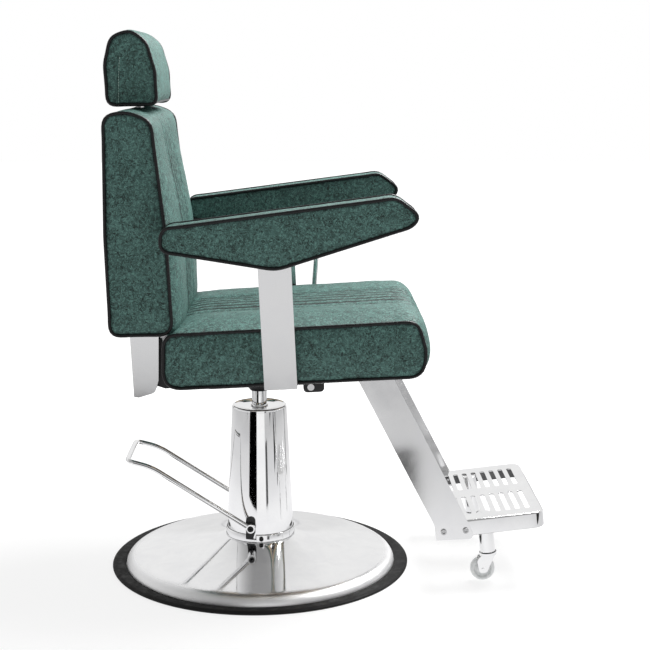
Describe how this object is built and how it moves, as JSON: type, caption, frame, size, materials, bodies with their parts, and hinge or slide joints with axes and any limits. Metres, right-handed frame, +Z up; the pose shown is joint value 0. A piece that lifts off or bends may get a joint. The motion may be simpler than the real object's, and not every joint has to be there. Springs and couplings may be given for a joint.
{
  "type": "hydraulic barber chair",
  "caption": "Barber chair with a padded seat, reclining back, sliding headrest, wedge armrests and slotted footrest on a chromed pump base with a foot pedal.",
  "frame": {"origin": "centre of the chair's footprint box, on the floor; the pump's axis is 127 mm behind it", "axes": "+X the way the occupant faces, +Y the occupant's left, +Z up"},
  "size_m": [0.8542, 0.62, 1.0555],
  "materials": {
    "chrome": "polished chrome plate",
    "steel": "turned bright steel",
    "black_steel": "satin black powder coat",
    "rubber": "matt black rubber",
    "leather": "distressed green leatherette with black piping",
    "plywood": "raw plywood",
    "plastic": "moulded black plastic",
    "wheel": "pale translucent plastic"
  },
  "bodies": {
    "base": {"base_ring": "rubber", "base_plate": "steel", "base_cover": "chrome", "shroud": "chrome", "shroud_collar": "chrome", "shroud_cap": "chrome", "collar_screw": "black_steel", "pump_body": "steel", "pump_gland": "steel", "axle_guide_left": "plastic", "axle_guide_right": "plastic"},
    "pedal": {"foot_pedal": "chrome", "pedal_axle": "steel"},
    "plunger": {"pump_plunger": "steel"},
    "piston": {"piston_rod": "chrome"},
    "seat": {"mount_hub": "black_steel", "mount_plate": "black_steel", "front_crossbar": "black_steel", "rear_crossbar": "black_steel", "seat_board": "plywood", "seat_cushion": "leather", "gas_anchor": "black_steel", "footrest_tread": "chrome", "seat_rail_left": "black_steel", "seat_rail_right": "black_steel", "hinge_ear_left": "black_steel", "hinge_ear_right": "black_steel", "hinge_pin_left": "steel", "hinge_pin_right": "steel", "arm_column_left": "chrome", "arm_column_right": "chrome", "armrest_left": "leather", "armrest_right": "leather", "footrest_arm_left": "chrome", "footrest_arm_right": "chrome", "foot_screw_rear_left": "steel", "foot_screw_rear_right": "steel", "foot_screw_front_left": "steel", "foot_screw_front_right": "steel", "lever_lug_left": "black_steel", "lever_lug_right": "black_steel", "caster_stem_left": "chrome", "caster_stem_right": "chrome"},
    "back": {"back_cushion": "leather", "back_board": "plywood", "gas_bar": "black_steel", "headrest_guide": "steel", "back_bracket_left": "chrome", "back_bracket_right": "chrome"},
    "headrest": {"headrest_post": "chrome", "headrest_cushion": "leather"},
    "lever": {"recline_lever": "chrome", "lever_knob": "plastic"},
    "gas_tube": {"gas_cylinder": "plastic"},
    "gas_piston": {"gas_rod": "steel"},
    "caster_left": {"caster_fork_left": "chrome"},
    "caster_right": {"caster_fork_right": "chrome"},
    "wheel_left": {"caster_wheel_left": "wheel"},
    "wheel_right": {"caster_wheel_right": "wheel"}
  },
  "joints": [
    {"name": "pedal_press", "type": "hinge", "parent": "base", "child": "pedal", "pos_m": [-0.14443, 0, 0.0912], "axis": [0, -1, 0], "range_deg": [0, 25], "stiffness_Nm_per_rad": 12, "springref_deg": -8.59},
    {"name": "plunger_stroke", "type": "slide", "parent": "base", "child": "plunger", "axis": [0, 0, -1], "range_m": [0, 0.0078]},
    {"name": "lift", "type": "slide", "parent": "base", "child": "piston", "axis": [0, 0, 1], "range_m": [0, 0.15]},
    {"name": "swivel", "type": "hinge", "parent": "piston", "child": "seat", "pos_m": [-0.12713, 0, 0.37], "axis": [0, 0, 1], "continuous": true},
    {"name": "recline", "type": "hinge", "parent": "seat", "child": "back", "pos_m": [-0.32313, 0, 0.432], "axis": [0, -1, 0], "range_deg": [0, 40]},
    {"name": "headrest_lift", "type": "slide", "parent": "back", "child": "headrest", "axis": [0, 0, 1], "range_m": [0, 0.08]},
    {"name": "lever_push", "type": "hinge", "parent": "seat", "child": "lever", "pos_m": [-0.02447, 0, 0.40932], "axis": [0, 1, 0], "range_deg": [0, 20], "stiffness_Nm_per_rad": 3, "springref_deg": -11.46},
    {"name": "gas_pivot", "type": "hinge", "parent": "seat", "child": "gas_tube", "pos_m": [-0.0615, 0, 0.40908], "axis": [0, -1, 0], "range_deg": [-1, 2]},
    {"name": "gas_stroke", "type": "slide", "parent": "gas_tube", "child": "gas_piston", "axis": [-0.999, 0, -0.0441], "range_m": [-0.027, 0.002]},
    {"name": "caster_swivel_left", "type": "hinge", "parent": "seat", "child": "caster_left", "pos_m": [0.32178, 0.125, 0.06], "axis": [-0.1156, 0, 0.9933], "continuous": true},
    {"name": "caster_swivel_right", "type": "hinge", "parent": "seat", "child": "caster_right", "pos_m": [0.32178, -0.125, 0.06], "axis": [-0.1156, 0, 0.9933], "continuous": true},
    {"name": "wheel_roll_left", "type": "hinge", "parent": "caster_left", "child": "wheel_left", "pos_m": [0.31183, 0.125, 0.02612], "axis": [0, 1, 0], "continuous": true},
    {"name": "wheel_roll_right", "type": "hinge", "parent": "caster_right", "child": "wheel_right", "pos_m": [0.31183, -0.125, 0.02612], "axis": [0, 1, 0], "continuous": true}
  ],
  "couplings": [
    {"joint": "plunger_stroke", "follows": "pedal_press", "m_per_rad": 0.017},
    {"joint": "gas_pivot", "follows": "recline", "ratio": 0.01504},
    {"joint": "gas_stroke", "follows": "recline", "m_per_rad": -0.03622}
  ]
}
